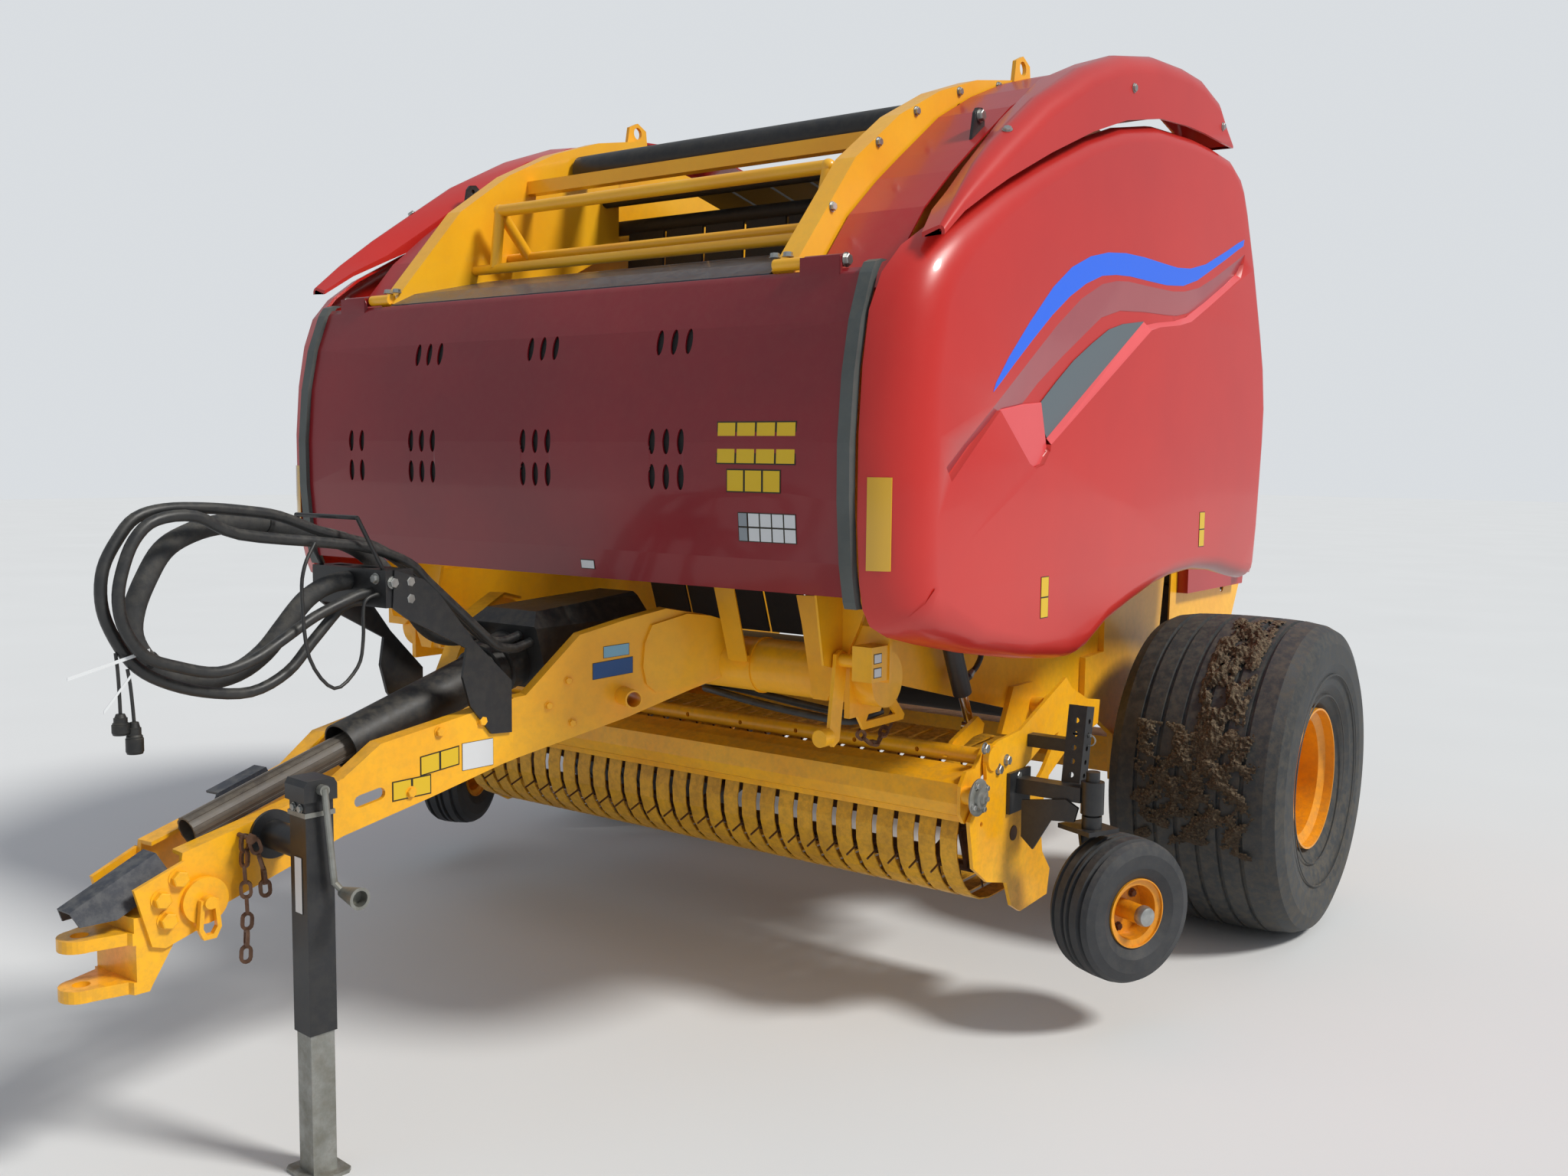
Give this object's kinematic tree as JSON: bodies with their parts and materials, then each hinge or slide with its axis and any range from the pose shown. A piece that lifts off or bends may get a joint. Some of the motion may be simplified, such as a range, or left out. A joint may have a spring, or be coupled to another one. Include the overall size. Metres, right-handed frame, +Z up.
{
  "type": "round baler",
  "caption": "Towed round baler with a drawbar tongue on a parking jack, tine pickup with gauge wheels, gull-wing side doors, opening front shield and lifting tailgate.",
  "frame": {"origin": "centre of the bounding box at ground level", "axes": "+X is the baler's left side, -Y is the hitch end, +Z is up"},
  "size_m": [3.006, 4.48, 2.66],
  "materials": {
    "yellow_paint": "satin",
    "blue_sheet": "satin",
    "rusty_steel": "matte",
    "black_paint": "satin",
    "steel": "satin",
    "black_plastic": "satin",
    "red_paint": "glossy",
    "rubber": "matte",
    "red_moulded": "glossy",
    "tyre": "matte",
    "lamp_lens": "glossy"
  },
  "bodies": {
    "chassis": {"main_frame": "yellow_paint", "chamber_walls": "yellow_paint", "tongue_beams": "yellow_paint", "hitch_clevis": "yellow_paint", "hitch_flaps": "blue_sheet", "safety_chain": "rusty_steel", "jack_housing": "black_paint", "jack_crank": "steel", "hose_rack": "black_paint", "gearbox_guard": "black_plastic", "driveline_shield": "black_plastic", "driveline_tube": "black_plastic", "shield_seals": "rubber", "front_cover": "blue_sheet", "front_rails": "yellow_paint", "guard_bars": "black_paint", "forming_belts": "rubber", "hoods": "red_paint", "inner_sheets": "red_paint", "strut_brackets": "black_paint", "lever_set": "yellow_paint", "lever_chain": "steel", "hose_outer": "rubber", "hose_inner": "rubber", "hose_sleeve": "rubber", "sensor_cable": "rubber", "leads": "rubber", "lead_plugs": "black_plastic"},
    "jack_inner": {"jack_leg": "steel"},
    "shield": {"front_shield": "red_paint"},
    "top_roller": {"front_roller": "black_paint"},
    "side_door_left": {"door_left": "red_moulded"},
    "side_door_right": {"door_right": "red_moulded"},
    "wheel_left": {"tyre_left": "tyre", "rim_left": "yellow_paint"},
    "wheel_right": {"tyre_right": "tyre", "rim_right": "yellow_paint"},
    "pickup": {"pickup_frame": "yellow_paint", "pickup_bands": "yellow_paint", "gauge_mounts": "black_paint"},
    "reel": {"tine_reel": "black_paint"},
    "guard_arms": {"windguard": "yellow_paint"},
    "swivel_left": {"caster_left": "black_paint"},
    "swivel_right": {"caster_right": "black_paint"},
    "gauge_wheel_left": {"gauge_tyre_left": "tyre", "gauge_rim_left": "yellow_paint"},
    "gauge_wheel_right": {"gauge_tyre_right": "tyre", "gauge_rim_right": "yellow_paint"},
    "lift_barrels": {"pickup_barrel": "black_paint"},
    "lift_rods": {"pickup_rod": "steel"},
    "tailgate": {"tailgate_frame": "yellow_paint", "tailgate_belts": "rubber", "tailgate_covers": "red_paint", "tail_lamps": "lamp_lens"},
    "gate_cylinder_left": {"gate_barrel_left": "black_paint"},
    "gate_cylinder_right": {"gate_barrel_right": "black_paint"},
    "gate_ram_left": {"gate_rod_left": "steel"},
    "gate_ram_right": {"gate_rod_right": "steel"}
  },
  "joints": [
    {"name": "wheel_left_spin", "type": "hinge", "parent": "chassis", "child": "wheel_left", "pos_m": [1.23, 0.99, 0.5], "axis": [1, 0, 0], "continuous": true},
    {"name": "wheel_right_spin", "type": "hinge", "parent": "chassis", "child": "wheel_right", "pos_m": [-1.23, 0.99, 0.5], "axis": [1, 0, 0], "continuous": true},
    {"name": "jack_extend", "type": "slide", "parent": "chassis", "child": "jack_inner", "axis": [0, 0, 1], "range_m": [0, 0.25]},
    {"name": "shield_open", "type": "hinge", "parent": "chassis", "child": "shield", "pos_m": [0, -0.868, 1.942], "axis": [-1, 0, 0], "range_deg": [0, 95]},
    {"name": "roller_spin", "type": "hinge", "parent": "chassis", "child": "top_roller", "pos_m": [0, -0.1, 2.43], "axis": [1, 0, 0], "continuous": true},
    {"name": "door_left_open", "type": "hinge", "parent": "chassis", "child": "side_door_left", "pos_m": [1.106, 0.29, 2.318], "axis": [0, -1, 0], "range_deg": [0, 80]},
    {"name": "door_right_open", "type": "hinge", "parent": "chassis", "child": "side_door_right", "pos_m": [-1.106, 0.29, 2.318], "axis": [0, 1, 0], "range_deg": [0, 80]},
    {"name": "pickup_lift", "type": "hinge", "parent": "chassis", "child": "pickup", "pos_m": [0, 0.29, 0.76], "axis": [1, 0, 0], "range_deg": [-5, 18]},
    {"name": "reel_spin", "type": "hinge", "parent": "pickup", "child": "reel", "pos_m": [0, -0.2, 0.5], "axis": [1, 0, 0], "continuous": true},
    {"name": "windguard_float", "type": "hinge", "parent": "pickup", "child": "guard_arms", "pos_m": [0, -0.328, 0.724], "axis": [-1, 0, 0], "range_deg": [0, 10]},
    {"name": "caster_left_swivel", "type": "hinge", "parent": "pickup", "child": "swivel_left", "pos_m": [1.232, -0.185, 0.6], "axis": [0, 0, 1], "range_deg": [-45, 45]},
    {"name": "gauge_left_spin", "type": "hinge", "parent": "swivel_left", "child": "gauge_wheel_left", "pos_m": [1.287, -0.117, 0.331], "axis": [0.9205, -0.3907, 0], "continuous": true},
    {"name": "caster_right_swivel", "type": "hinge", "parent": "pickup", "child": "swivel_right", "pos_m": [-1.232, -0.185, 0.6], "axis": [0, 0, 1], "range_deg": [-45, 45]},
    {"name": "gauge_right_spin", "type": "hinge", "parent": "swivel_right", "child": "gauge_wheel_right", "pos_m": [-1.287, -0.117, 0.331], "axis": [0.9205, 0.3907, 0], "continuous": true},
    {"name": "tailgate_open", "type": "hinge", "parent": "chassis", "child": "tailgate", "pos_m": [0, 1.12, 2.42], "axis": [1, 0, 0], "range_deg": [0, 60]},
    {"name": "gate_cylinder_left_pivot", "type": "hinge", "parent": "chassis", "child": "gate_cylinder_left", "pos_m": [0.86, 0.84, 1.25], "axis": [1, 0, 0], "range_deg": [-0.2, 6.09]},
    {"name": "gate_ram_left_slide", "type": "slide", "parent": "gate_cylinder_left", "child": "gate_ram_left", "axis": [0, 0.5821, 0.8131], "range_m": [-0.002, 0.445]},
    {"name": "gate_cylinder_right_pivot", "type": "hinge", "parent": "chassis", "child": "gate_cylinder_right", "pos_m": [-0.86, 0.84, 1.25], "axis": [1, 0, 0], "range_deg": [-0.2, 6.09]},
    {"name": "gate_ram_right_slide", "type": "slide", "parent": "gate_cylinder_right", "child": "gate_ram_right", "axis": [0, 0.5821, 0.8131], "range_m": [-0.002, 0.445]},
    {"name": "lift_barrels_pivot", "type": "hinge", "parent": "chassis", "child": "lift_barrels", "pos_m": [0, -0.34, 1.123], "axis": [1, 0, 0], "range_deg": [-5.88, 1.78]},
    {"name": "lift_rods_slide", "type": "slide", "parent": "lift_barrels", "child": "lift_rods", "axis": [0, 0.434, -0.9009], "range_m": [-0.0399, 0.1385]}
  ],
  "couplings": [
    {"joint": "gate_cylinder_left_pivot", "follows": "tailgate_open", "ratio": 0.09812},
    {"joint": "gate_ram_left_slide", "follows": "tailgate_open", "m_per_rad": 0.42303},
    {"joint": "gate_cylinder_right_pivot", "follows": "tailgate_open", "ratio": 0.09812},
    {"joint": "gate_ram_right_slide", "follows": "tailgate_open", "m_per_rad": 0.42303},
    {"joint": "lift_barrels_pivot", "follows": "pickup_lift", "ratio": -0.31567},
    {"joint": "lift_rods_slide", "follows": "pickup_lift", "m_per_rad": 0.43464}
  ]
}
